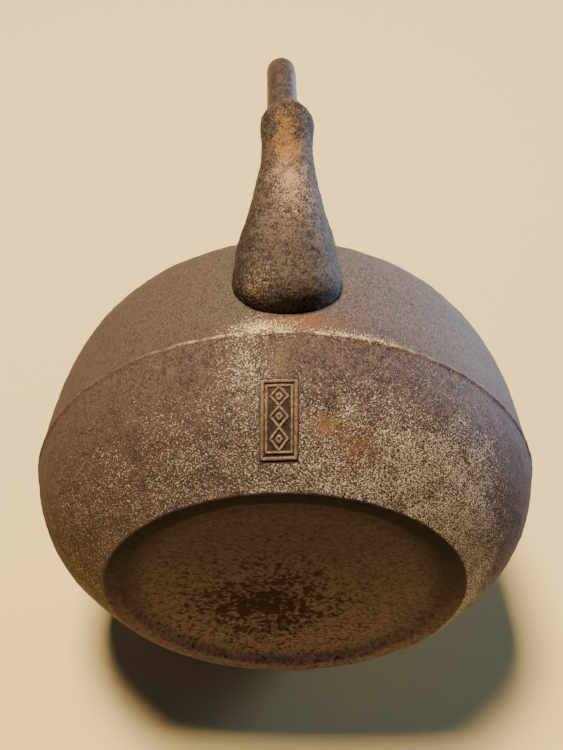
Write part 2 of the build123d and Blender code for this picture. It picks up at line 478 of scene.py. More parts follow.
def node_modifier(piece: Piece, tree: bpy.types.NodeTree, values: dict) -> None:
    """Puts a geometry node tree on a piece.

    Args:
        piece: the object.
        tree: the tree.
        values: its inputs, by name.
    """
    modifier = piece.modifiers.new(tree.name, "NODES")
    modifier.node_group = tree
    for item in tree.interface.items_tree:
        if item.item_type == "SOCKET" and item.in_out == "INPUT" and item.name in values:
            modifier[item.identifier] = values[item.name]


def baked(piece: Piece, name: str) -> Piece:
    """Turns an object and its live modifiers into a plain mesh object, and removes the original.

    Args:
        piece: the object with its modifiers.
        name: the finished piece's name.

    Returns:
        The plain object, at the origin.
    """
    graph = bpy.context.evaluated_depsgraph_get()
    mesh = bpy.data.meshes.new_from_object(piece.evaluated_get(graph), depsgraph=graph)
    bpy.data.objects.remove(piece, do_unlink=True)
    work = bmesh.new()
    work.from_mesh(mesh)
    bmesh.ops.remove_doubles(work, verts=work.verts, dist=PIECE_MERGE)
    if work.calc_volume(signed=True) < 0:
        bmesh.ops.reverse_faces(work, faces=work.faces)
    work.to_mesh(mesh)
    work.free()
    mesh.name = name
    made = bpy.data.objects.new(name, mesh)
    bpy.context.collection.objects.link(made)
    return made


def mesh_object(
    name: str,
    points: np.ndarray,
    faces: Iterable[Sequence[int]] = (),
    edges: Iterable[Sequence[int]] = (),
) -> Piece:
    """Makes a mesh object from points in millimetres.

    Args:
        name: the object's name.
        points: an array of positions.
        faces: each face's point numbers.
        edges: each edge's point numbers.

    Returns:
        The linked object.
    """
    mesh = bpy.data.meshes.new(name)
    places = (np.asarray(points) * MM).tolist()
    mesh.from_pydata(places, [list(edge) for edge in edges], [list(face) for face in faces])
    mesh.update()
    made = bpy.data.objects.new(name, mesh)
    bpy.context.collection.objects.link(made)
    return made


def ring_faces(rows: int, columns: int, closed: bool) -> list[tuple[int, int, int, int]]:
    """The faces of a grid that closes on itself across, and also along it where closed is true.

    Args:
        rows: how many rows of points.
        columns: how many points in a row.
        closed: joins the last row to the first.

    Returns:
        Each face's four point numbers.
    """
    span = rows if closed else rows - 1
    made = []
    for row in range(span):
        low, high = row * columns, ((row + 1) % rows) * columns
        for here in range(columns):
            there = (here + 1) % columns
            made.append((low + here, low + there, high + there, high + here))
    return made


# --- Outlines -----------------------------------------------------------------------------


@dataclass
class Outline:
    """The half outline of a turned piece: radius and height points in millimetres."""

    points: list[Point]

    def run(self, *stops: Point, step: float = 1.0) -> "Outline":
        """Goes on in straight runs.

        Args:
            stops: the ends of the runs.
            step: the distance between points.

        Returns:
            The outline, to go on from.
        """
        for stop in stops:
            start = self.points[-1]
            count = max(1, round(math.dist(start, stop) / step))
            for k in range(1, count + 1):
                self.points.append(tuple(a + (b - a) * k / count for a, b in zip(start, stop)))
        return self

    def sweep(self, pull_in: Point, pull_out: Point, stop: Point, step: float = 1.0) -> "Outline":
        """Goes on in one smooth curve.

        Args:
            pull_in: the point that the curve sets out towards.
            pull_out: the point that it arrives from.
            stop: its end.
            step: the distance between points.

        Returns:
            The outline, to go on from.
        """
        start = self.points[-1]
        count = max(2, round(math.dist(start, stop) * 1.05 / step))
        for k in range(1, count + 1):
            t = k / count
            weights = ((1 - t) ** 3, 3 * (1 - t) ** 2 * t, 3 * (1 - t) * t * t, t**3)
            corners = (start, pull_in, pull_out, stop)
            self.points.append(tuple(sum(w * c[i] for w, c in zip(weights, corners)) for i in (0, 1)))
        return self

    def turned(self, name: str, shaping: Shaping, columns: int, material: Finish) -> Piece:
        """An object whose live modifier turns the outline about Z.

        Args:
            name: the object's name.
            shaping: the trees.
            columns: how many points go round.
            material: its finish.

        Returns:
            The object, its modifier live.
        """
        points = np.array([(radius, 0.0, height) for radius, height in self.points])
        edges = [(k, k + 1) for k in range(len(points) - 1)]
        made = mesh_object(name, points, edges=edges)
        node_modifier(made, shaping.turning, {"Columns": columns, "Material": material})
        return made


def smooth_through(stops: list[Point], at: np.ndarray) -> np.ndarray:
    """A smooth line through points, read at some places.

    Args:
        stops: value and place pairs in rising order of place.
        at: the places to read.

    Returns:
        The values there.
    """
    places = np.array([s[1] for s in stops])
    values = np.array([s[0] for s in stops])
    slopes = np.gradient(values, places)
    cell = np.clip(np.searchsorted(places, at) - 1, 0, len(places) - 2)
    width = places[cell + 1] - places[cell]
    t = np.clip((at - places[cell]) / width, 0, 1)
    start = (1 + 2 * t) * (1 - t) ** 2 * values[cell] + t * (1 - t) ** 2 * width * slopes[cell]
    return start + t * t * (3 - 2 * t) * values[cell + 1] + t * t * (t - 1) * width * slopes[cell + 1]


# --- Finishes -----------------------------------------------------------------------------


class Effects:
    """The shader groups that the finishes share, each built once."""

    def __init__(self) -> None:
        """Builds the groups."""
        self.grain = self.build_grain()
        self.fleck = self.build_fleck()
        self.patch = self.build_patch()

    @staticmethod
    def build_grain() -> bpy.types.NodeTree:
        """The sandy skin of a casting: small grains, wider lumps and pits, with their shading.

        Returns:
            The group.
        """
        tree, given, end = new_group(
            "sand_grain",
            "ShaderNodeTree",
            {"Place": ("Vector", None), "Grain": ("Float", 1.1), "Lumps": ("Float", 0.35)},
            {"Height": "Float", "Pits": "Float", "Tone": "Float"},
        )
        fine = tree.noise(given["Place"], given["Grain"], 3.0, 0.6, 1.7)
        wide = tree.noise(given["Place"], given["Lumps"], 4.0, 0.55, 5.1)
        cells = tree.add("ShaderNodeTexVoronoi", {"Vector": given["Place"]}, feature="SMOOTH_F1")
        tree.feed(cells.inputs["Scale"], tree.times(given["Grain"], 0.8))
        pits = tree.rise(cells.outputs["Distance"], 0.34, 0.08)
        keep = tree.rise(wide, 0.5, 0.62)
        deep = tree.times(pits, keep)
        rough = tree.plus(tree.times(fine, 0.6), tree.times(wide, 0.6))
        tree.feed(end.inputs["Height"], tree.minus(rough, tree.times(deep, 0.25)))
        tree.feed(end.inputs["Pits"], deep)
        tree.feed(end.inputs["Tone"], tree.plus(tree.times(fine, 0.7), tree.times(wide, 0.3)))
        return tree.tree

    @staticmethod
    def build_fleck() -> bpy.types.NodeTree:
        """Fine flecks of pale scale, thicker where the amount is higher.

        Returns:
            The group.
        """
        tree, given, end = new_group(
            "pale_flecks",
            "ShaderNodeTree",
            {
                "Place": ("Vector", None),
                "Size": ("Float", 1.2),
                "Amount": ("Float", 0.5),
                "Seed": ("Float", 3.0),
            },
            {"Mask": "Float"},
        )
        fine = tree.noise(given["Place"], given["Size"], 3.0, 0.65, given["Seed"])
        drift = tree.noise(given["Place"], 0.16, 3.0, 0.6, given["Seed"])
        level = tree.plus(given["Amount"], tree.times(tree.minus(drift, 0.5), 0.6))
        edge = tree.minus(0.72, tree.times(level, 0.27))
        over = tree.math("DIVIDE", tree.minus(fine, edge), FLECK_EDGE, clamp=True)
        tree.feed(end.inputs["Mask"], over)
        return tree.tree

    @staticmethod
    def build_patch() -> bpy.types.NodeTree:
        """A ragged patch round a place, such as a bloom of rust, a crust of scale or a patch of painted
        shade.

        Returns:
            The group.
        """
        tree, given, end = new_group(
            "ragged_patch",
            "ShaderNodeTree",
            {
                "Place": ("Vector", None),
                "Centre": ("Vector", (0, 0, 0)),
                "Spread": ("Vector", (10, 10, 10)),
                "Ragged": ("Float", 0.8),
                "Grain": ("Float", 0.5),
                "Speckle": ("Float", 0.0),
                "Seed": ("Float", 0.0),
            },
            {"Mask": "Float"},
        )
        away = tree.vector("SUBTRACT", given["Place"], given["Centre"])
        reach = tree.vector("LENGTH", tree.vector("DIVIDE", away, given["Spread"]))
        wild = tree.noise(given["Place"], given["Grain"], 5.0, 0.62, given["Seed"])
        fine = tree.noise(given["Place"], 2.3, 2.0, 0.6, given["Seed"])
        swing = tree.times(tree.minus(wild, 0.5), tree.times(given["Ragged"], 4.0))
        dust = tree.times(tree.minus(fine, 0.4), tree.times(given["Speckle"], 6.0))
        tree.feed(end.inputs["Mask"], tree.rise(tree.plus(tree.plus(reach, swing), dust), 1.25, 0.55))
        return tree.tree


# The patch group's inputs that a patch sets by fields of the same names.
PATCH_INPUTS = ("Centre", "Spread", "Ragged", "Grain", "Speckle")


@dataclass(frozen=True)
class Patch:
    """A patch of another colour on a finish."""

    colour: Colour
    centre: Place
    spread: Place
    strength: float = 0.8
    ragged: float = 0.8
    grain: float = 0.5
    speckle: float = 0.4


@dataclass(frozen=True)
class RustedIron:
    """The finish of a rusted iron piece: two browns, pits, pale flecks and patches."""

    name: str
    dark: Colour
    light: Colour
    pit: Colour
    fleck: Colour
    fleck_size: float = 1.2
    fleck_strength: float = 0.75
    fleck_amount: float = 0.5
    contrast: Point = (0.36, 0.66)
    grain: float = 1.1
    lumps: float = 0.35
    bump: float = 0.28
    roughness: Point = (0.62, 0.9)
    metallic: float = 0.0
    shine: float = 0.12
    patches: tuple[Patch, ...] = ()

    def dress(self, effects: Effects, extra: Callable[..., Layered] | None = None) -> Finish:
        """Builds the material.

        Args:
            effects: the shared groups.
            extra: a finish's own layers; it takes the tree, the groups, the place in millimetres,
                the colour and the fleck amount, and gives back the colour and the amount.

        Returns:
            The material.
        """
        material = bpy.data.materials.new(self.name)
        material.use_nodes = True
        tree = Tree(material.node_tree)
        shader = material.node_tree.nodes["Principled BSDF"]
        place = tree.scaled(tree.add("ShaderNodeTexCoord").outputs["Object"], 1 / MM)
        grain = self.use(tree, effects.grain, Place=place, Grain=self.grain, Lumps=self.lumps)
        tone = tree.rise(grain.outputs["Tone"], *self.contrast)
        colour = tree.blend(tone, self.dark, self.light)
        amount = self.fleck_amount
        if extra:
            colour, amount = extra(tree, effects, place, colour, amount)
        colour = tree.blend(tree.times(grain.outputs["Pits"], 0.7), colour, self.pit)
        flecks = self.use(tree, effects.fleck, Place=place, Size=self.fleck_size, Amount=amount)
        mask = tree.times(flecks.outputs["Mask"], self.fleck_strength)
        colour = tree.blend(mask, colour, self.fleck)
        for number, patch in enumerate(self.patches):
            values = {label: getattr(patch, label.lower()) for label in PATCH_INPUTS}
            group = self.use(tree, effects.patch, Place=place, Seed=float(number), **values)
            mask = tree.times(group.outputs["Mask"], patch.strength)
            colour = tree.blend(mask, colour, patch.colour)
        tree.feed(shader.inputs["Base Color"], colour)
        low, high = self.roughness
        gloss = tree.math("ADD", tree.times(grain.outputs["Tone"], high - low), low, clamp=True)
        tree.feed(shader.inputs["Roughness"], gloss)
        shader.inputs["Metallic"].default_value = self.metallic
        shader.inputs["Specular IOR Level"].default_value = self.shine
        relief = tree.plus(grain.outputs["Height"], tree.times(flecks.outputs["Mask"], 0.12))
        rise = {"Strength": 1.0, "Distance": self.bump * MM, "Height": relief}
        tree.feed(shader.inputs["Normal"], tree.add("ShaderNodeBump", rise).outputs[0])
        return material

    @staticmethod
    def use(tree: Tree, group: bpy.types.NodeTree, **values) -> bpy.types.Node:
        """Places a shared group in a material with its own values.

        Args:
            tree: the material's tree.
            group: the shared group.
            values: its inputs, by name.

        Returns:
            The placed group.
        """
        node = tree.add("ShaderNodeGroup", node_tree=group)
        for name, value in values.items():
            tree.feed(node.inputs[name], value)
        return node


SHELL_IRON = RustedIron(
    name="cast_shell_iron",
    dark=tint(34, 25, 21),
    light=tint(92, 74, 63),
    pit=tint(26, 17, 13),
    fleck=tint(204, 183, 152),
    fleck_size=2.4,
    contrast=(0.38, 0.62),
    grain=1.9,
    lumps=0.5,
    bump=0.42,
    fleck_strength=0.85,
    patches=(
        Patch(tint(110, 82, 36), (11, -73, 13.5), (6, 12, 3.5), 0.75, 0.6, 0.45, 0.6),
        Patch(tint(104, 60, 32), (19, -70, 9.5), (10, 12, 5.5), 0.8, 0.7, 0.45, 0.9),
        Patch(tint(114, 72, 40), (6, -84, 42.5), (13, 12, 4.5), 0.85, 0.5, 0.5, 0.8),
        Patch(tint(126, 76, 52), (28, -79, 38.4), (14, 12, 1.2), 0.65, 0.6, 0.6, 0.9),
        Patch(tint(118, 92, 54), (-2, -80, 29), (2.6, 12, 7), 0.55, 0.7, 0.5, 0.9),
        Patch(tint(228, 204, 164), (-8, -84, 39.9), (8, 12, 2.8), 0.8, 0.6, 0.9, 1.8),
        Patch(tint(222, 178, 104), (-5.5, -84, 40.8), (8, 12, 3.2), 0.85, 0.6, 0.6, 1.5),
        Patch(tint(226, 196, 146), (19, -82, 39.0), (12, 14, 1.5), 0.8, 0.8, 0.6, 2.2),
        Patch(tint(204, 184, 150), (-12, -78, 27), (6, 14, 11), 0.6, 0.5, 0.6, 1.8),
    ),
)

MARK_IRON = RustedIron(
    name="cast_mark_iron",
    dark=tint(84, 66, 50),
    light=tint(134, 110, 82),
    pit=tint(44, 32, 24),
    fleck=tint(186, 164, 132),
    fleck_size=2.4,
    fleck_amount=0.2,
    bump=0.2,
)

SPOUT_IRON = RustedIron(
    name="cast_spout_iron",
    dark=tint(36, 28, 23),
    light=tint(92, 76, 62),
    pit=tint(24, 17, 14),
    fleck=tint(156, 132, 106),
    fleck_size=2.1,
    fleck_strength=0.6,
    fleck_amount=0.45,
    contrast=(0.36, 0.64),
    grain=1.5,
    lumps=0.5,
    bump=0.5,
    patches=(
        # Painted shade down both sides of the spout.
        Patch(tint(34, 28, 23), (-16, -98, 66), (8, 24, 28), 0.7, 0.6, 0.3, 0.4),
        Patch(tint(38, 35, 36), (18, -100, 68), (8, 24, 28), 0.55, 0.6, 0.3, 0.6),
        Patch(tint(146, 104, 56), (0, -117, 86), (6, 14, 11), 0.8, 0.5, 0.35, 0.6),
        Patch(tint(174, 140, 108), (1, -107, 76), (6.5, 14, 11), 0.7, 0.6, 0.4, 0.8),
        Patch(tint(112, 88, 66), (-2, -98, 64), (7, 14, 7), 0.4, 0.6, 0.4, 0.9),
        Patch(tint(178, 150, 108), (-10, -92, 49), (5, 12, 4), 0.6, 0.6, 0.5, 1.6),
    ),
)

HANDLE_IRON = RustedIron(
    name="forged_handle_iron",
    dark=tint(38, 27, 22),
    light=tint(80, 60, 49),
    pit=tint(34, 20, 16),
    fleck=tint(140, 108, 84),
    fleck_amount=0.05,
    grain=0.9,
    lumps=0.22,
    bump=0.12,
    roughness=(0.42, 0.72),
    metallic=0.1,
    shine=0.4,
)

LID_IRON = RustedIron(
    name="cast_lid_iron",
    dark=tint(42, 33, 27),
    light=tint(90, 74, 60),
    pit=tint(32, 21, 16),
    fleck=tint(172, 150, 120),
    fleck_size=2.0,
    fleck_amount=0.15,
    grain=1.6,
)

FITTING_IRON = RustedIron(
    name="lid_fitting_iron",
    dark=tint(44, 33, 26),
    light=tint(92, 72, 56),
    pit=tint(34, 22, 17),
    fleck=tint(156, 130, 102),
    fleck_amount=0.05,
    bump=0.14,
    roughness=(0.45, 0.75),
    shine=0.4,
)


@dataclass(frozen=True)
class ShellLayers:
    """The shell's own layers: rust tones, the shoulder, the ridge, the dished base and the scale, with
    painted shade in places and a painted highlight on the ridge.

    A band is a pair of values: a layer comes in from its first value to its second.
    """

    rust: Colour = tint(88, 64, 50)
    rust_band: Point = (0.46, 0.66)
    shoulder_band: Point = (36.0, 50.0)
    sand: tuple[Colour, Colour] = (tint(46, 38, 32), tint(106, 92, 79))
    # Painted shade: the shoulder is darker to the left.
    sand_left: Colour = tint(58, 45, 34)
    # Painted shade towards the far right edge of the flank.
    far_right_shade: Colour = tint(58, 36, 34)
    ochre: Colour = tint(124, 84, 48)
    # Pale scale along the ridge, partly a painted highlight on its crest.
    ridge: Colour = tint(208, 178, 132)
    ridge_height: float = 38.0
    ridge_band: Point = (0.8, 0.25)
    base_height_band: Point = (3.4, 3.0)
    base_edge_band: Point = (59.3, 58.4)
    taupe: tuple[Colour, Colour] = (tint(92, 76, 74), tint(132, 112, 108))
    # Painted shade: the base darkens towards the spout's side.
    taupe_front: Colour = tint(50, 40, 38)
    blotch: Colour = tint(36, 12, 8)
    blotch_centre: Place = (-7.0, 13.0, 2.8)
    blotch_reach: float = 34.0
    # Painted shade round the inside of the base's rim, heaviest on the spout's side.
    margin: Colour = tint(26, 15, 10)
    margin_band: Point = (43.0, 54.0)
    # Painted shade on the ground inside the mark's frame.
    panel: Colour = tint(34, 25, 19)
    panel_middle: Point = (-2.0, 14.8)
    bare_amount: float = -0.4

    def __call__(
        self, tree: Tree, effects: Effects, place: Socket, colour: Socket, amount: float
    ) -> Layered:
        """Lays the layers over the finish's browns.

        Args:
            tree: the material's tree.
            effects: the shared groups.
            place: the position in millimetres.
            colour: the browns so far.
            amount: the finish's fleck amount.

        Returns:
            The colour and the fleck amount.
        """
        x, y, z = tree.parts(place)
        reach = tree.math("POWER", tree.plus(tree.times(x, x), tree.times(y, y)), 0.5)
        shoulder = tree.rise(z, *self.shoulder_band)
        base = tree.times(tree.rise(z, *self.base_height_band), tree.rise(reach, *self.base_edge_band))
        colour = self.rust_tones(tree, effects, place, colour, shoulder)
        colour = self.ridge_scale_and_highlight(tree, place, colour)
        colour = self.dished_base(tree, effects, place, colour, base, reach)

        # Painted shade: the ground inside the mark's frame is darkened and kept bare of flecks.
        across = tree.math("ABSOLUTE", tree.minus(x, self.panel_middle[0]))
        along = tree.math("ABSOLUTE", tree.minus(z, self.panel_middle[1]))
        panel = tree.times(tree.rise(across, 5.7, 5.2), tree.rise(along, 9.2, 8.7))
        panel = tree.times(panel, tree.rise(y, -50.0, -60.0))
        colour = tree.blend(tree.times(panel, 0.6), colour, self.panel)

        low, right = tree.rise(z, 38.0, 8.0), tree.rise(x, -60.0, 45.0)
        dense = tree.plus(tree.times(low, 0.5), tree.times(right, 0.25))
        far_right_shade = tree.rise(x, 58.0, 80.0)
        for share, mask in ((-0.2, shoulder), (-1.4, base), (-0.5, far_right_shade), (-1.5, panel)):
            dense = tree.plus(dense, tree.times(mask, share))
        return colour, tree.plus(dense, amount + self.bare_amount)

    def rust_tones(
        self, tree: Tree, effects: Effects, place: Socket, colour: Socket, shoulder: Socket
    ) -> Socket:
        """Warm rust in drifts and to the left, a sandier shoulder with painted shade on its left, painted
        shade on the far right, ochre specks.

        Args:
            tree: the material's tree.
            effects: the shared groups.
            place: the position in millimetres.
            colour: the colour so far.
            shoulder: 1 above the ridge.

        Returns:
            The colour.
        """
        x = tree.parts(place)[0]
        rusty = tree.rise(tree.noise(place, 0.3, 5.0, 0.7, 8.0), *self.rust_band)
        warm = tree.plus(tree.times(rusty, 0.4), tree.times(tree.rise(x, 5.0, -60.0), 0.25))
        colour = tree.blend(warm, colour, self.rust)
        sand = tree.blend(tree.rise(tree.noise(place, 2.4, 2.0, 0.6, 6.0), 0.36, 0.64), *self.sand)
        # Painted shade: the shoulder's sand is darkened to the left.
        sand = tree.blend(tree.times(tree.rise(x, 20.0, -60.0), 0.45), sand, self.sand_left)
        colour = tree.blend(tree.times(shoulder, 0.7), colour, sand)
        # Painted shade: the flank darkens towards its far right edge.
        colour = tree.blend(tree.times(tree.rise(x, 55.0, 82.0), 0.6), colour, self.far_right_shade)
        specks = RustedIron.use(tree, effects.fleck, Place=place, Size=1.9, Amount=0.25, Seed=12.0)
        return tree.blend(tree.times(specks.outputs["Mask"], 0.6), colour, self.ochre)

    def ridge_scale_and_highlight(self, tree: Tree, place: Socket, colour: Socket) -> Socket:
        """Pale scale and a painted highlight along the ridge: broken, strongest in front, and thin just
        under the spout.

        Args:
            tree: the material's tree.
            place: the position in millimetres.
            colour: the colour so far.

        Returns:
            The colour.
        """
        x, _, z = tree.parts(place)
        off = tree.math("ABSOLUTE", tree.minus(z, self.ridge_height))
        broken = tree.rise(tree.noise(place, 0.5, 3.0, 0.6, 2.0), 0.4, 0.62)
        fade = tree.plus(tree.times(tree.rise(tree.math("ABSOLUTE", x), 48.0, 6.0), 0.85), 0.08)
        under_spout = tree.rise(tree.math("ABSOLUTE", tree.minus(x, 3.0)), 4.0, 11.0)
        fade = tree.times(fade, tree.plus(tree.times(under_spout, 0.45), 0.55))
        # Partly pale scale, partly a painted highlight on the ridge's crest.
        line = tree.times(tree.times(tree.rise(off, *self.ridge_band), broken), fade)
        return tree.blend(line, colour, self.ridge)

    def dished_base(
        self, tree: Tree, effects: Effects, place: Socket, colour: Socket, base: Socket, reach: Socket
    ) -> Socket:
        """The base: taupe, painted shade at the spout's side and the rim, and dark blotches in one place.

        Args:
            tree: the material's tree.
            effects: the shared groups.
            place: the position in millimetres.
            colour: the colour so far.
            base: 1 on the base.
            reach: the distance from the middle line.

        Returns:
            The colour.
        """
        # Painted shade: the base is darkened towards the spout's side, where the dish lies in shade.
        front = tree.rise(tree.parts(place)[1], 45.0, -35.0)
        taupe = tree.blend(tree.rise(tree.noise(place, 0.8, 3.0, 0.65, 3.0), 0.36, 0.6), *self.taupe)
        taupe = tree.blend(tree.times(front, 0.6), taupe, self.taupe_front)
        colour = tree.blend(tree.times(base, 0.9), colour, taupe)
        away = tree.vector("DISTANCE", place, self.blotch_centre)
        heavy = tree.minus(1.25, tree.over(away, self.blotch_reach))
        for size, share in ((0.3, heavy), (0.62, tree.plus(tree.times(heavy, 0.5), 0.5))):
            seed = size + 4.0
            blotch = RustedIron.use(tree, effects.fleck, Place=place, Size=size, Amount=share, Seed=seed)
            mask = tree.times(tree.times(blotch.outputs["Mask"], base), 0.9)
            colour = tree.blend(mask, colour, self.blotch)
        # Painted shade: darker round the rim inside the dish, most on the spout's side.
        margin = tree.times(tree.rise(reach, *self.margin_band), base)
        margin = tree.times(margin, tree.plus(tree.times(front, 0.85), 0.05))
        return tree.blend(margin, colour, self.margin)


# --- Sub-assemblies -----------------------------------------------------------------------


def ride(piece: Piece, body: Body, slot: Slot, *nodes: str) -> None:
    """Makes a finished piece ride on its body, in the place of the nodes it stands for.

    Args:
        piece: the finished object.
        body: the body it moves with.
        slot: not used.
        nodes: the nodes that it replaces.
    """
    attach(piece, body.value)
    if nodes:
        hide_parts(*nodes)
    log.info("%s: %d faces on %s", piece.name, len(piece.data.polygons), body.value)


@dataclass(frozen=True)
class Skin:
    """How uneven a cast or forged piece's skin is, in millimetres."""

    seed: float
    lump_height: float
    lump_width: float
    grain_height: float
    grain_width: float = 2.4
    true_above: float = 999.0

    def lay(self, piece: Piece, shaping: Shaping, material: Finish) -> None:
        """Puts the skin on a piece as a live modifier.

        Args:
            piece: the object.
            shaping: the trees.
            material: its finish.
        """
        values = {f.name.replace("_", " ").title(): getattr(self, f.name) for f in fields(self)}
        node_modifier(piece, shaping.skin, values | {"Material": material})


@dataclass
class KettleShell:
    """The cast shell: the dished base, flank, ridge, shoulder, mouth and the lid's recess."""

    body_radius: float = 85.0
    base_radius: float = 58.8
    ridge_height: float = 37.9
    shoulder_height: float = 110.2
    neck_radius: float = 38.6
    wall: float = 3.2
    flank_pulls: tuple[Point, Point] = ((75.1, 12.8), (82.75, 19.6))
    shoulder_pulls: tuple[Point, Point] = ((83.4, 68.8), (78.6, 104.6))
    ridge_proud: float = 0.5
    ridge_half_width: float = 0.8
    mouth_radius: float = 33.0
    seat_radius: float = 36.8
    seat_depth: float = 2.2
    ring_inner: float = 54.5
    dish_edge: Point = (50.5, 2.3)
    dish_depth: float = 2.8
    columns: int = 384

    def drawn_in(self, point: Point, inset: float) -> Point:
        """A point of the outline, moved in by a wall's thickness on every side.

        Args:
            point: its radius and height.
            inset: the thickness.

        Returns:
            The moved point.
        """
        wide = (self.body_radius - inset) / self.body_radius
        tall = (self.shoulder_height - 2 * inset) / self.shoulder_height
        return (point[0] * wide, inset + point[1] * tall)

    def outline(self) -> Outline:
        """The whole outline: out across the base, up the outside, and back down the inside."""
        dish, ring, foot, top = self.dish_edge, self.ring_inner, self.base_radius, self.shoulder_height
        line = Outline([(0.0, self.dish_depth)])
        line.run((dish[0] - 2.5, self.dish_depth), step=1.7)
        line.sweep((dish[0] + 0.8, self.dish_depth - 0.1), (ring - 1.8, 0.0), (ring, 0.0), step=0.6)
        line.run((foot - 1.2, 0.0), step=0.8)
        line.sweep((foot - 0.3, 0.0), (foot + 0.3, 0.35), (foot + 0.75, 0.75), step=0.3)
        first = len(line.points)
        ridge, neck = (self.body_radius, self.ridge_height), (self.neck_radius, top)
        line.sweep(*self.flank_pulls, ridge, step=0.85)
        line.sweep(*self.shoulder_pulls, neck, step=1.25)
        line.points[first:] = self.with_ridge(line.points[first:])
        outside = len(line.points)
        lip, floor = top - self.seat_depth, self.dish_depth + self.wall
        line.run((self.seat_radius + 0.4, top), step=0.7)
        line.run((self.seat_radius, top - 0.4), (self.seat_radius, lip), step=0.6)
        line.run((self.mouth_radius + 0.3, lip), step=0.9)
        line.run((self.mouth_radius, lip - 0.3), (self.mouth_radius, top - self.wall), step=0.5)
        line.run(self.drawn_in(neck, self.wall), step=2.0)
        for pulls, stop in ((self.shoulder_pulls, ridge), (self.flank_pulls, (foot, 0))):
            inner = [self.drawn_in(point, self.wall) for point in (*reversed(pulls), stop)]
            line.sweep(*inner, step=4.0)
        line.points[outside:] = [p for p in line.points[outside:] if p[1] > floor + 0.8]
        edge = line.points[-1][0] - 1.5
        return line.run((edge, floor), step=1.0).run((0.0, floor), step=5.0)

    def with_ridge(self, points: list[Point]) -> list[Point]:
        """Adds close points about the ridge and lifts them into its rounded line.

        Args:
            points: the outside of the outline.

        Returns:
            The same outline with its ridge.
        """
        middle, half = self.ridge_height, self.ridge_half_width
        near = [middle + half * k / 3 for k in range(-6, 7)]
        far = [p for p in points if abs(p[1] - middle) > 2.2 * half]
        heights = sorted([p[1] for p in far] + near)
        radii = np.interp(heights, [p[1] for p in points], [p[0] for p in points])
        lifts = [self.ridge_proud * math.exp(-(((h - middle) / half) ** 2)) for h in heights]
        return [(float(r) + lift, h) for r, h, lift in zip(radii, heights, lifts)]

    @cached_property
    def side(self) -> np.ndarray:
        """The outside of the wall, from the base's edge to the neck, as rows of radius and height."""
        line = self.outline().points
        top = max(range(len(line)), key=lambda k: line[k][1])
        bottom = min(range(top), key=lambda k: abs(line[k][0] - self.base_radius))
        return np.array(line[bottom : top + 1])

    def outer_radius(self, heights: np.ndarray) -> np.ndarray:
        """The outside radius at some heights."""
        return np.interp(heights, self.side[:, 1], self.side[:, 0])

    def build(self, shaping: Shaping, material: Finish, cutter: Piece) -> Piece:
        """Makes the shell, with a hole where the spout is let in.

        Args:
            shaping: the trees.
            material: the shell's finish.
            cutter: the closed form that cuts the hole.

        Returns:
            The finished shell.
        """
        shell = self.outline().turned("shell_form", shaping, self.columns, material)
        hole = shell.modifiers.new("spout_hole", "BOOLEAN")
        hole.operation, hole.solver, hole.object = "DIFFERENCE", "EXACT", cutter
        Skin(2.0, 0.5, 11.0, 0.26, 2.6, self.shoulder_height - 1.0).lay(shell, shaping, material)
        made = baked(shell, "kettle_shell")
        bpy.data.objects.remove(cutter, do_unlink=True)
        return made

    def build_mark(self, shaping: Shaping, material: Finish, shell: Piece) -> Piece:
        """Makes the cast mark, a framed column of lozenges on the front of the flank.

        Args:
            shaping: the trees.
            material: the mark's finish.
            shell: the finished shell that it lies on.

        Returns:
            The finished mark.
        """
        start = mesh_object("mark_form", np.zeros((1, 3)))
        node_modifier(start, shaping.ribs, {"Ground": shell, "Material": material})
        return baked(start, "cast_mark")


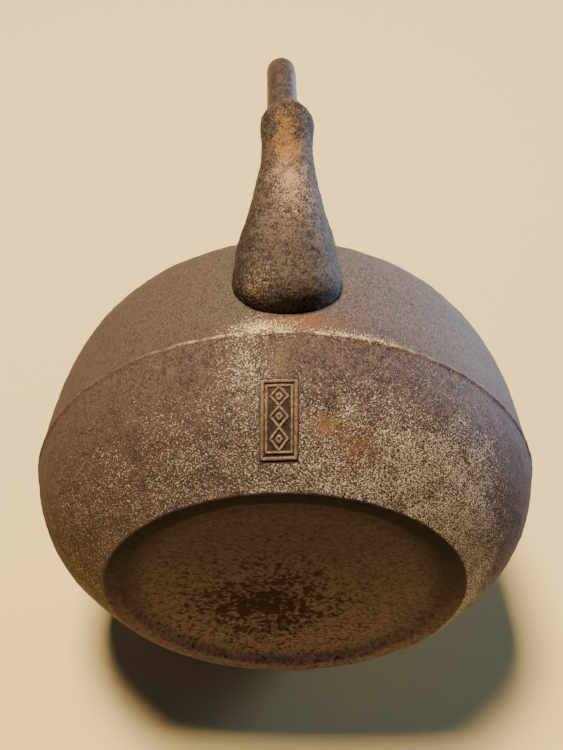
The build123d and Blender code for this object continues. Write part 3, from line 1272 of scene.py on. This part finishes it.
@dataclass
class Spout:
    """The cast spout: a ball foot let into the shell, a long taper and a lip that is cut level."""

    foot: Place = (0.0, -83.0, 60.5)
    slope: float = 51.0
    foot_radius: float = 16.5
    foot_depth: float = 13.2
    taper: tuple[Point, ...] = (
        (16.5, 0),
        (14.9, 11),
        (11.9, 20.5),
        (9.5, 30),
        (8.1, 36.5),
        (7.75, 42),
        (8.3, 47.5),
        (8.4, 60),
    )
    wall: float = 2.6
    mouth_height: float = 97.0
    lip_round: float = 0.9
    foot_gap: float = 0.45
    columns: int = 168
    side_rows: int = 132
    lip_rows: int = 5
    bore_rows: int = 42
    cutter_columns: int = 72

    def axes(self) -> tuple[np.ndarray, np.ndarray, np.ndarray]:
        """The spout's own axes: across, out from the shell's side, and along."""
        lean = math.radians(self.slope)
        across = np.array((1.0, 0.0, 0.0))
        upper = np.array((0.0, math.sin(lean), math.cos(lean)))
        along = np.array((0.0, -math.cos(lean), math.sin(lean)))
        return across, upper, along

    def radius(self, along: np.ndarray, inset: float = 0.0) -> np.ndarray:
        """The radius at some distances along the axis; below the foot it is a flattened ball.

        Args:
            along: the distances.
            inset: how far in from the side.

        Returns:
            The radii.
        """
        foot = self.foot_radius
        ball = foot * np.sqrt(np.maximum(1 - (np.minimum(along, 0.0) / self.foot_depth) ** 2, 0.0))
        side = smooth_through(list(self.taper), np.maximum(along, 0.0))
        return np.maximum(np.where(along < 0, ball, side) - inset, 0.01)

    def points(self, along: np.ndarray, turn: np.ndarray, inset: float = 0.0) -> np.ndarray:
        """Positions on the spout's side, or inside it by the inset.

        Args:
            along: the distances along the axis.
            turn: the angles round it.
            inset: how far in from the side.

        Returns:
            The positions.
        """
        across, upper, axis = self.axes()
        radius = self.radius(along, inset)[..., None]
        ring = np.cos(turn)[..., None] * across + np.sin(turn)[..., None] * upper
        return np.array(self.foot) + along[..., None] * axis + radius * ring

    def reach(
        self, depth: Depth, turn: np.ndarray, inset: float, low: float, high: float
    ) -> np.ndarray:
        """How far along the axis the side has to go before a depth falls to nothing.

        Args:
            depth: gives a depth for positions, positive at the start and negative at the end.
            turn: the angles round the axis.
            inset: how far in from the side.
            low: where to start.
            high: where to stop.

        Returns:
            A distance for each angle.
        """
        near, far = np.full_like(turn, low), np.full_like(turn, high)
        for _ in range(40):
            middle = (near + far) / 2
            inside = depth(self.points(middle, turn, inset)) > 0
            near, far = np.where(inside, middle, near), np.where(inside, far, middle)
        return (near + far) / 2

    def build(self, shell: KettleShell, shaping: Shaping, material: Finish) -> Piece:
        """Makes the hollow spout as one closed skin.

        Args:
            shell: gives the wall that the foot ends at.
            shaping: the trees.
            material: its finish.

        Returns:
            The finished spout.
        """
        turn = np.linspace(0, 2 * math.pi, self.columns, endpoint=False)

        def in_cavity(place: np.ndarray) -> np.ndarray:
            """How deep a position lies within the shell's cavity."""
            away = np.hypot(place[..., 0], place[..., 1])
            return shell.outer_radius(place[..., 2]) - shell.wall - away

        def below_mouth(place: np.ndarray) -> np.ndarray:
            """How far a position lies below the level mouth."""
            return self.mouth_height - place[..., 2]

        rows = []
        outer_start = self.reach(in_cavity, turn, 0.0, -12.0, 12.0)
        outer_end = self.reach(below_mouth, turn, 0.0, 20.0, 60.0) - self.lip_round
        for t in np.linspace(0, 1, self.side_rows):
            rows.append(self.points(outer_start + (outer_end - outer_start) * t, turn))
        for k in range(1, self.lip_rows + 1):
            angle = math.pi / 2 * k / self.lip_rows
            inset = self.lip_round * (1 - math.cos(angle))
            lift = self.lip_round * math.sin(angle)
            rows.append(self.points(outer_end + lift, turn, inset))
        inner_end = self.reach(below_mouth, turn, self.wall, 20.0, 60.0)
        rows.append(self.points(inner_end, turn, self.wall - 0.5))
        rows.append(self.points(inner_end - 0.5, turn, self.wall))
        inner_start = self.reach(in_cavity, turn, self.wall, -10.0, 16.0)
        for t in np.linspace(0.02, 1, self.bore_rows):
            along = inner_end - 0.5 + (inner_start - inner_end + 0.5) * t
            rows.append(self.points(along, turn, self.wall))
        rows.append((rows[-1] + rows[0]) / 2)
        grid = np.array(rows).reshape(-1, 3)
        made = mesh_object("spout_form", grid, ring_faces(len(rows), self.columns, closed=True))
        Skin(7.0, 0.55, 7.0, 0.3, 1.9).lay(made, shaping, material)
        return baked(made, "kettle_spout")

    def cutter(self) -> Piece:
        """The closed form that cuts the shell's hole, a little low, so a joint shows under the foot."""
        columns = self.cutter_columns
        turn = np.linspace(0, 2 * math.pi, columns, endpoint=False)
        places = [-self.foot_depth * math.cos(math.radians(a)) for a in range(4, 90, 5)]
        places += list(np.linspace(0.5, 30, 24))
        rows = [self.points(np.full_like(turn, s), turn, 0.1) for s in places]
        grid = np.array(rows).reshape(-1, 3) - np.array((0, 0, self.foot_gap))
        low, high, last = len(grid), len(grid) + 1, len(grid) - columns
        ends = [grid[:columns].mean(axis=0), grid[-columns:].mean(axis=0)]
        faces = [f[::-1] for f in ring_faces(len(rows), columns, closed=False)]
        faces += [(low, c, (c + 1) % columns) for c in range(columns)]
        faces += [(high, last + (c + 1) % columns, last + c) for c in range(columns)]
        made = mesh_object("spout_cutter", np.vstack([grid, ends]), faces)
        work = bmesh.new()
        work.from_mesh(made.data)
        bmesh.ops.recalc_face_normals(work, faces=work.faces)
        work.to_mesh(made.data)
        work.free()
        made.hide_render = True
        return made


@dataclass
class Ears:
    """The two cast lugs on the shoulder, each with an eye for the handle's pin."""

    inner_y: float = 48.0
    outer_y: float = 57.0
    eye_height: float = 118.0
    eye_radius: float = 3.08
    top_radius: float = 7.2
    base_half_width: float = 9.0
    root_height: float = 100.0
    edge_round: float = 1.3
    columns: int = 96

    def edge(self, turn: np.ndarray) -> np.ndarray:
        """The distance from the eye's middle to the lug's edge, at some angles.

        Args:
            turn: the angles.

        Returns:
            The distances.
        """
        away = []
        for angle in turn:
            dx, dz = math.cos(angle), math.sin(angle)
            drop = self.eye_height - self.root_height
            if dz >= 0:
                reach = self.top_radius
            else:
                slope = (self.base_half_width - self.top_radius) / drop
                reach = min(drop / -dz, self.top_radius / max(abs(dx) + slope * dz, 1e-6))
            away.append(reach)
        return np.array(away)

    def build(self, side: int, name: str, shaping: Shaping, material: Finish) -> Piece:
        """Makes one lug.

        Args:
            side: -1 for the front lug and 1 for the rear one.
            name: its name.
            shaping: the trees.
            material: its finish.

        Returns:
            The finished lug.
        """
        turn = np.linspace(0, 2 * math.pi, self.columns, endpoint=False)
        edge, rows = self.edge(turn), []
        r = self.edge_round

        def ring(away: np.ndarray, depth: float) -> None:
            """Adds one ring of points, so far from the eye and so deep in the lug.

            Args:
                away: the distance from the eye at each angle.
                depth: how deep the ring lies.
            """
            x = away * np.cos(turn)
            z = self.eye_height + away * np.sin(turn)
            rows.append(np.stack([x, np.full_like(x, side * depth), z], axis=1))

        for t in (0.0, 0.35, 0.7, 1.0):
            ring(self.eye_radius + (edge - r - self.eye_radius) * t + 0.25 * (t == 0), self.inner_y)
        for k in range(1, 5):
            a = math.pi / 2 * k / 4
            ring(edge - r + r * math.sin(a), self.inner_y + r - r * math.cos(a))
        for t in (0.33, 0.66, 1.0):
            ring(edge, self.inner_y + r + (self.outer_y - self.inner_y - 2 * r) * t)
        for k in range(1, 5):
            a = math.pi / 2 * k / 4
            ring(edge - r + r * math.cos(a), self.outer_y - r + r * math.sin(a))
        for t in (0.7, 0.35, 0.0):
            ring(self.eye_radius + (edge - r - self.eye_radius) * t + 0.25 * (t == 0), self.outer_y)
        for t in (0.03, 0.35, 0.65, 0.97):
            depth = self.outer_y + (self.inner_y - self.outer_y) * t
            ring(np.full_like(edge, self.eye_radius), depth)
        faces = ring_faces(len(rows), self.columns, closed=True)
        made = mesh_object(name + "_form", np.array(rows).reshape(-1, 3), faces)
        Skin(4.0 + side, 0.2, 6.0, 0.0).lay(made, shaping, material)
        return baked(made, name)


@dataclass
class Handle:
    """The forged bail: a round bar in an arch, thinner towards its pinned ends."""

    bar_radius: float = 5.85
    foot_radius: float = 4.35
    top_height: float = 229.15
    half_span: float = 63.4
    corner: float = 34.0
    foot_y: float = 62.0
    foot_height: float = 120.0
    straight_from: float = 125.0
    taper_height: float = 172.0
    lean: float = -2.5
    steps: int = 24

    def arch(self) -> list[Place]:
        """The bar's middle line and its radius, as (y, z, radius), from one foot to the other."""
        lean = (self.half_span - self.foot_y) / (self.top_height - self.straight_from)
        tilt = math.atan(lean)
        up = (math.sin(tilt), math.cos(tilt))
        leg_end = self.corner * math.tan((math.pi / 2 + tilt) / 2)
        low = (self.foot_y - lean * (self.straight_from - self.foot_height), self.foot_height)
        start = (self.half_span - leg_end * up[0], self.top_height - leg_end * up[1])
        middle = (start[0] - self.corner * up[1], start[1] + self.corner * up[0])
        right = []
        for k in range(self.steps):
            t = k / self.steps
            right.append((low[0] + (start[0] - low[0]) * t, low[1] + (start[1] - low[1]) * t))
        for k in range(self.steps + 1):
            angle = -tilt + (math.pi / 2 + tilt) * k / self.steps
            y, z = self.corner * math.cos(angle), self.corner * math.sin(angle)
            right.append((middle[0] + y, middle[1] + z))
        line = [(-y, z) for y, z in right] + right[::-1]
        made = []
        for y, z in line:
            t = min(1.0, max(0.0, (z - self.straight_from) / (self.taper_height - self.straight_from)))
            made.append((y, z, self.foot_radius + (self.bar_radius - self.foot_radius) * t))
        return made

    def build(self, shaping: Shaping, material: Finish) -> Piece:
        """Makes the bar along its arch, with a forged skin.

        Args:
            shaping: the trees.
            material: its finish.

        Returns:
            The finished bar.
        """
        curve = bpy.data.curves.new("handle_path", "CURVE")
        curve.dimensions = "3D"
        spline = curve.splines.new("POLY")
        arch = self.arch()
        spline.points.add(len(arch) - 1)
        for point, (y, z, radius) in zip(spline.points, arch):
            lean = self.lean * max(0.0, z - self.straight_from) / (self.top_height - self.straight_from)
            point.co = (lean * MM, y * MM, z * MM, 1.0)
            point.radius = radius * MM
        path = bpy.data.objects.new("handle_path", curve)
        bpy.context.collection.objects.link(path)
        node_modifier(path, shaping.bar, {"Step": 0.9, "Sides": 48, "Material": material})
        bar = baked(path, "bar_form")
        Skin(9.0, 0.5, 13.0, 0.12, 3.0).lay(bar, shaping, material)
        return baked(bar, "bail_handle")


@dataclass
class Lid:
    """The lid with its flange, the seat ring, the turned knob, and the rivet with its washer."""

    edge_radius: float = 36.5
    flange: Point = (30.0, 32.4)
    flange_depth: float = 4.6
    under: float = 108.1
    edge_top: float = 110.7
    top: float = 116.3
    rivet_hole: float = 2.37
    knob_under: float = 117.95
    knob_top: float = 132.95
    washer_under: float = 112.05
    washer_radius: float = 5.6
    seat_radius: float = 9.6
    shank_radius: float = 2.3
    columns: int = 200
    fitting_columns: int = 96

    def lid_outline(self) -> Outline:
        """Out under the dome, round the flange and the edge, and back over the top."""
        inside, (bore, flange), under = self.top - 3.0, self.flange, self.under
        foot, edge, brim = under - self.flange_depth, self.edge_radius, self.edge_top
        line = Outline([(self.rivet_hole, inside), (6.6, inside)])
        line.sweep((12.0, inside), (24.0, inside - 1.4), (bore, under), step=1.4)
        line.run((bore, foot + 0.3), (bore + 0.3, foot), (flange - 0.3, foot), step=0.8)
        line.run((flange, foot + 0.3), (flange, under), (edge - 0.4, under), step=0.8)
        line.run((edge, under + 0.4), (edge, brim - 0.6), step=0.6)
        line.sweep((edge, brim - 0.1), (edge - 0.2, brim), (edge - 0.9, brim), step=0.3)
        line.run((34.0, brim + 0.1), step=0.5)
        line.sweep((33.6, brim + 0.9), (33.0, brim + 1.0), (32.4, brim + 1.05), step=0.35)
        line.sweep((26.0, brim + 3.4), (18.0, self.top), (10.6, self.top), step=0.9)
        return line.run((self.rivet_hole, self.top), (self.rivet_hole, inside), step=1.0)

    def seat_outline(self) -> Outline:
        """A flat ring with a rounded upper edge."""
        hole, low, high, edge = self.rivet_hole, self.top, self.top + 1.4, self.seat_radius
        line = Outline([(hole, low)]).run((edge, low), (edge, low + 0.7), step=0.5)
        line.sweep((edge, high - 0.2), (edge - 0.3, high), (edge - 0.9, high), step=0.2)
        return line.run((hole, high), (hole, low), step=0.6)

    def knob_outline(self) -> Outline:
        """A waist, a full belly with a turned line, and a low crown."""
        low, high = self.knob_under, self.knob_top
        line = Outline([(0.0, low)]).run((4.7, low), (5.0, low + 0.3), step=0.5)
        line.sweep((5.0, low + 1.4), (4.9, low + 2.2), (5.3, low + 3.1), step=0.3)
        line.sweep((6.2, low + 4.6), (8.35, low + 6.0), (8.38, low + 8.3), step=0.35)
        line.run((8.1, low + 8.6), (8.36, low + 8.9), step=0.15)
        line.sweep((8.3, low + 11.4), (7.2, low + 12.6), (5.2, high - 1.4), step=0.35)
        return line.sweep((3.6, high - 0.45), (1.8, high), (0.0, high), step=0.4)

    def rivet_outline(self) -> Outline:
        """A shank with a peened head under the lid."""
        foot = self.washer_under - 1.4
        line = Outline([(0.0, foot)])
        line.sweep((1.8, foot), (3.4, foot + 0.15), (3.8, foot + 1.1), step=0.4)
        line.run((3.8, foot + 1.4), (self.shank_radius, foot + 1.4), step=0.4)
        end = self.knob_under + 1.0
        return line.run((self.shank_radius, end), (0.0, end), step=1.0)

    def washer_outline(self) -> Outline:
        """A plain washer with eased edges."""
        low, high = self.washer_under, self.washer_under + 1.0
        hole, edge = self.rivet_hole, self.washer_radius
        line = Outline([(hole, low)]).run((edge - 0.25, low), step=0.3)
        line.run((edge, low + 0.25), (edge, high - 0.25), step=0.3)
        return line.run((edge - 0.25, high), (hole, high), (hole, low), step=0.4)

    def build(self, shaping: Shaping, lid_finish: Finish, fitting_finish: Finish) -> dict[str, Piece]:
        """Makes the five pieces.

        Args:
            shaping: the trees.
            lid_finish: the lid's finish.
            fitting_finish: the finish of the knob and what holds it.

        Returns:
            The pieces, by the nodes that they replace.
        """
        makes = {
            "lid": (self.lid_outline, lid_finish, 0.16),
            "knob_seat": (self.seat_outline, fitting_finish, 0.05),
            "lid_knob": (self.knob_outline, fitting_finish, 0.16),
            "knob_rivet": (self.rivet_outline, fitting_finish, 0.03),
            "rivet_washer": (self.washer_outline, fitting_finish, 0.03),
        }
        made = {}
        for number, (node, (outline, finish, lump)) in enumerate(makes.items()):
            columns = self.columns if node == "lid" else self.fitting_columns
            form = outline().turned(node + "_form", shaping, columns, finish)
            Skin(20.0 + number, lump, 5.0, lump / 3, 1.8).lay(form, shaping, finish)
            made[node] = baked(form, "kettle_" + node)
        return made


# --- Stage --------------------------------------------------------------------------------


@dataclass(frozen=True)
class Lamp:
    """A square soft light: the way to it from the kettle, metres, watts and a linear colour."""

    name: str
    towards: Place
    distance: float
    size: float
    power: float
    colour: Colour

    def hang(self, aim: Place) -> None:
        """Adds the light, turned to face a place in metres.

        Args:
            aim: the place.
        """
        light = bpy.data.lights.new(self.name, "AREA")
        light.shape, light.size, light.energy, light.color = "SQUARE", self.size, self.power, self.colour
        lamp = bpy.data.objects.new(self.name, light)
        bpy.context.collection.objects.link(lamp)
        way = Vector(self.towards).normalized()
        lamp.location = Vector(aim) + way * self.distance
        lamp.rotation_mode = "QUATERNION"
        lamp.rotation_quaternion = way.to_track_quat("Z", "Y")


@dataclass
class Stage:
    """The pale floor behind the kettle, the lights and the camera."""

    floor_normal: Place = (0.0, -0.995, -0.099)
    floor_distance: float = 88.8
    floor_colour: Colour = tint(226, 198, 130)
    floor_half: float = 3.0
    lamps: tuple[Lamp, ...] = (
        Lamp("key", (-0.134, -0.985, 0.12), 1.2, 0.26, 45.0, (1.0, 0.88, 0.72)),
        Lamp("fill", (0.86, -0.02, 0.54), 1.2, 0.45, 44.0, (0.42, 0.62, 1.0)),
        Lamp("behind", (0.0, 0.76, 0.65), 1.3, 0.9, 26.0, (1.0, 0.92, 0.82)),
    )
    lamp_aim: Place = (0.0, 0.0, 0.07)
    sky: Colour = (0.22, 0.44, 1.0)
    sky_strength: float = 0.1
    eye: Place = (-0.0014, -0.2953, -0.1578)
    look_up: float = 40.5
    roll: float = 0.25
    lens: float = 48.0

    def build_floor(self) -> None:
        """A large plane that only its front face shows, so that the kettle can be seen from behind."""
        normal = Vector(self.floor_normal).normalized()
        mesh = bpy.data.meshes.new("pale_floor")
        half = self.floor_half
        corners = [(-half, -half, 0), (half, -half, 0), (half, half, 0), (-half, half, 0)]
        mesh.from_pydata(corners, [], [(0, 1, 2, 3)])
        floor = bpy.data.objects.new("pale_floor", mesh)
        bpy.context.collection.objects.link(floor)
        turn = normal.to_track_quat("Z", "Y").to_matrix().to_4x4()
        floor.matrix_world = Matrix.Translation(-normal * self.floor_distance * MM) @ turn
        material = bpy.data.materials.new("pale_floor")
        material.use_nodes = True
        tree = Tree(material.node_tree)
        shader = material.node_tree.nodes["Principled BSDF"]
        shader.inputs["Base Color"].default_value = (*self.floor_colour, 1.0)
        shader.inputs["Roughness"].default_value = 0.95
        shader.inputs["Specular IOR Level"].default_value = 0.1
        behind = tree.add("ShaderNodeNewGeometry").outputs["Backfacing"]
        shadow = tree.add("ShaderNodeLightPath").outputs["Is Shadow Ray"]
        clear = tree.add("ShaderNodeBsdfTransparent")
        mix = tree.add("ShaderNodeMixShader", {0: tree.math("MAXIMUM", behind, shadow)})
        tree.feed(mix.inputs[1], shader.outputs[0])
        tree.feed(mix.inputs[2], clear.outputs[0])
        out = next(n for n in material.node_tree.nodes if n.type == "OUTPUT_MATERIAL")
        tree.feed(out.inputs["Surface"], mix.outputs[0])
        mesh.materials.append(material)

    def build_lights(self) -> None:
        """A warm key over the floor, a cool fill from the right, and soft light behind and all round."""
        for lamp in self.lamps:
            lamp.hang(self.lamp_aim)
        world = bpy.data.worlds.new("studio")
        world.use_nodes = True
        tree = Tree(world.node_tree)
        soft = world.node_tree.nodes["Background"]
        soft.inputs["Color"].default_value = (*self.sky, 1.0)
        soft.inputs["Strength"].default_value = self.sky_strength
        pale = tree.add("ShaderNodeBackground", {"Color": self.floor_colour, "Strength": 1.0})
        seen = tree.add("ShaderNodeLightPath").outputs["Is Camera Ray"]
        mix = tree.add("ShaderNodeMixShader", {0: seen, 1: soft.outputs[0], 2: pale.outputs[0]})
        out = next(n for n in world.node_tree.nodes if n.type == "OUTPUT_WORLD")
        tree.feed(out.inputs["Surface"], mix.outputs[0])
        bpy.context.scene.world = world

    def build_camera(self) -> None:
        """The camera, below and in front of the kettle, looking up past its base to the spout."""
        camera = bpy.data.cameras.new("camera")
        camera.lens, camera.clip_start, camera.clip_end = self.lens, 0.01, 20.0
        made = bpy.data.objects.new("camera", camera)
        bpy.context.collection.objects.link(made)
        lift = math.radians(self.look_up)
        look = Vector((0, math.cos(lift), math.sin(lift)))
        up = Vector((0, -math.sin(lift), math.cos(lift)))
        right = look.cross(up)
        turn = Matrix((right, up, -look)).transposed().to_4x4()
        roll = Matrix.Rotation(math.radians(self.roll), 4, "Z")
        made.matrix_world = Matrix.Translation(self.eye) @ turn @ roll
        bpy.context.scene.camera = made

    def build(self) -> None:
        """Sets the floor, the lights and the camera."""
        self.build_floor()
        self.build_lights()
        self.build_camera()


def main() -> None:
    logging.basicConfig(level=logging.INFO, format="%(name)s %(message)s")
    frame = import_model()
    Stage().build()
    shaping, effects = Shaping(), Effects()
    shell_iron = SHELL_IRON.dress(effects, ShellLayers())
    spout_iron = SPOUT_IRON.dress(effects)
    handle_iron = HANDLE_IRON.dress(effects)
    lid_iron = LID_IRON.dress(effects)
    fitting_iron = FITTING_IRON.dress(effects)

    shell, spout = KettleShell(), Spout()
    body = shell.build(shaping, shell_iron, spout.cutter())
    mark = shell.build_mark(shaping, MARK_IRON.dress(effects), body)
    ride(body, Body.KETTLE, Slot.SHELL, "kettle_body")
    ride(mark, Body.KETTLE, Slot.SHELL)
    ride(spout.build(shell, shaping, spout_iron), Body.KETTLE, Slot.SPOUT, "spout")
    for side, node in ((-1, "ear_front"), (1, "ear_rear")):
        ride(Ears().build(side, "kettle_" + node, shaping, shell_iron), Body.KETTLE, Slot.SHELL, node)
    ride(Handle().build(shaping, handle_iron), Body.HANDLE, Slot.HANDLE, "handle_bar")
    for node in ("handle_end_front", "handle_end_rear"):
        ends = frame["nodes"][node]
        ends.data.materials.clear()
        ends.data.materials.append(handle_iron)
    for node, piece in Lid().build(shaping, lid_iron, fitting_iron).items():
        home = Body.LID if node in ("lid", "knob_seat") else Body.KNOB
        ride(piece, home, Slot.LID if node == "lid" else Slot.FITTINGS, node)


if __name__ == "__main__":
    main()
